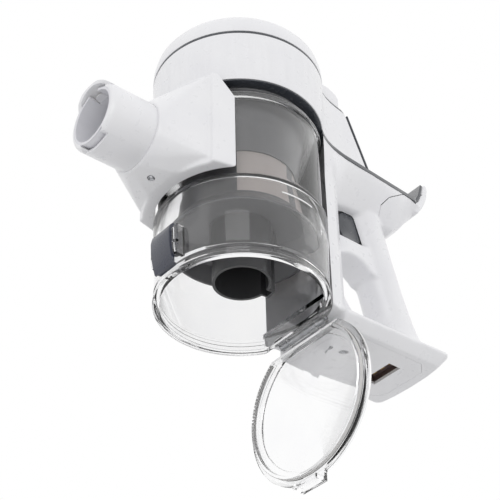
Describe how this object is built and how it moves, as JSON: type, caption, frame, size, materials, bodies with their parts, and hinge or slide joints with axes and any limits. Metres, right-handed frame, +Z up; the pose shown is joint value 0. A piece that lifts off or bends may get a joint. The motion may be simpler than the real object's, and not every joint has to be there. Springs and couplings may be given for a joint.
{
  "type": "handheld vacuum",
  "caption": "Cordless handheld cyclone vacuum with a clear bin whose lid hangs open, an inlet tube, trigger grip and foot.",
  "frame": {"origin": "centre of the inlet mouth, where the wand or a tool plugs in", "axes": "+X out of the inlet along the suction tube, +Y to the vacuum's left, +Z up along the cyclone axis towards the filter cap"},
  "size_m": [0.3095, 0.1288, 0.3416],
  "materials": {
    "white_abs": "satin white ABS",
    "clear_pc": "clear moulded polycarbonate",
    "tube_abs": "light grey ABS",
    "dark_trim": "dark grey gloss ABS",
    "display_glass": "black screen cover",
    "latch_abs": "navy ABS",
    "cyclone_abs": "mid grey ABS",
    "dust_tube_abs": "dark grey ABS",
    "mesh_steel": "etched stainless screen",
    "shroud_abs": "dark grey ABS",
    "seal_rubber": "moulded silicone",
    "seal_clear": "translucent silicone",
    "filter_media": "pleated filter media",
    "pin_steel": "ground steel",
    "spring_steel": "spring steel wire",
    "bearing_steel": "bearing steel",
    "dock_abs": "brown black ABS",
    "contact_brass": "plated brass contacts",
    "socket_abs": "black nylon",
    "motor_abs": "glass filled nylon",
    "motor_alloy": "die cast alloy",
    "magnet_steel": "laminated steel",
    "coil_copper": "enamelled copper wire",
    "cell_sleeve": "sleeved lithium cell",
    "cell_plate": "moulded cell holder",
    "board_green": "circuit board"
  },
  "bodies": {
    "chassis": {"battery_cells": "cell_sleeve", "cell_end_plates": "cell_plate", "control_board": "board_green", "control_hump": "white_abs", "cyclone_body": "cyclone_abs", "cyclone_cone": "cyclone_abs", "cyclone_skirt": "cyclone_abs", "deck_trim": "dark_trim", "diffuser": "motor_abs", "display_panel": "display_glass", "dock_contacts": "contact_brass", "dock_recess": "dock_abs", "dust_tube": "dust_tube_abs", "foot_plate": "white_abs", "foot_screws": "pin_steel", "foot_shell": "white_abs", "front_block": "white_abs", "handle_left": "white_abs", "handle_right": "white_abs", "inlet_sleeve": "white_abs", "inlet_tube": "tube_abs", "lower_bearing": "bearing_steel", "mesh_screen": "mesh_steel", "motor_bucket": "motor_abs", "motor_end_cap": "motor_alloy", "motor_gasket": "seal_rubber", "motor_housing": "white_abs", "motor_mount": "seal_rubber", "motor_stator": "magnet_steel", "port_gasket": "seal_rubber", "pre_filter": "filter_media", "shroud_frame": "shroud_abs", "spine": "white_abs", "stator_coils": "coil_copper", "trigger_pin": "pin_steel", "trigger_spring": "spring_steel", "trigger_switch": "socket_abs", "trim_ring": "dark_trim", "upper_bearing": "bearing_steel", "vortex_tube": "cyclone_abs", "wand_contacts": "contact_brass", "wand_socket": "socket_abs"},
    "bin": {"dust_bin": "clear_pc", "bin_top_seal": "seal_rubber", "hinge_pin": "pin_steel", "latch_pin": "pin_steel", "latch_spring": "spring_steel"},
    "lid": {"bin_lid": "clear_pc", "lid_seal": "seal_clear"},
    "latch": {"lid_latch": "latch_abs"},
    "trigger": {"trigger": "dark_trim"},
    "rotor": {"rotor_shaft": "pin_steel", "rotor_magnet": "magnet_steel", "impeller": "motor_abs"},
    "cap": {"filter_cap": "white_abs", "exhaust_filter": "filter_media", "filter_seal": "seal_rubber"}
  },
  "joints": [
    {"name": "bin_removal", "type": "slide", "parent": "chassis", "child": "bin", "axis": [0, 0, -1], "range_m": [0, 0.13]},
    {"name": "lid_hinge", "type": "hinge", "parent": "bin", "child": "lid", "pos_m": [-0.1836, 0, -0.1026], "axis": [0, -1, 0], "range_deg": [0, 90]},
    {"name": "latch_pivot", "type": "hinge", "parent": "bin", "child": "latch", "pos_m": [-0.0632, 0, -0.0846], "axis": [0, -1, 0], "range_deg": [0, 10], "stiffness_Nm_per_rad": 0.3, "springref_deg": -5.73},
    {"name": "trigger_pivot", "type": "hinge", "parent": "chassis", "child": "trigger", "pos_m": [-0.2326, 0, 0.0224], "axis": [0, 1, 0], "range_deg": [0, 8], "stiffness_Nm_per_rad": 0.6, "springref_deg": -5.73},
    {"name": "rotor_spin", "type": "hinge", "parent": "chassis", "child": "rotor", "pos_m": [-0.1286, 0, 0.0764], "axis": [0, 0, 1], "continuous": true},
    {"name": "cap_twist", "type": "hinge", "parent": "chassis", "child": "cap", "pos_m": [-0.1286, 0, 0.097], "axis": [0, 0, 1], "range_deg": [0, 25]}
  ]
}
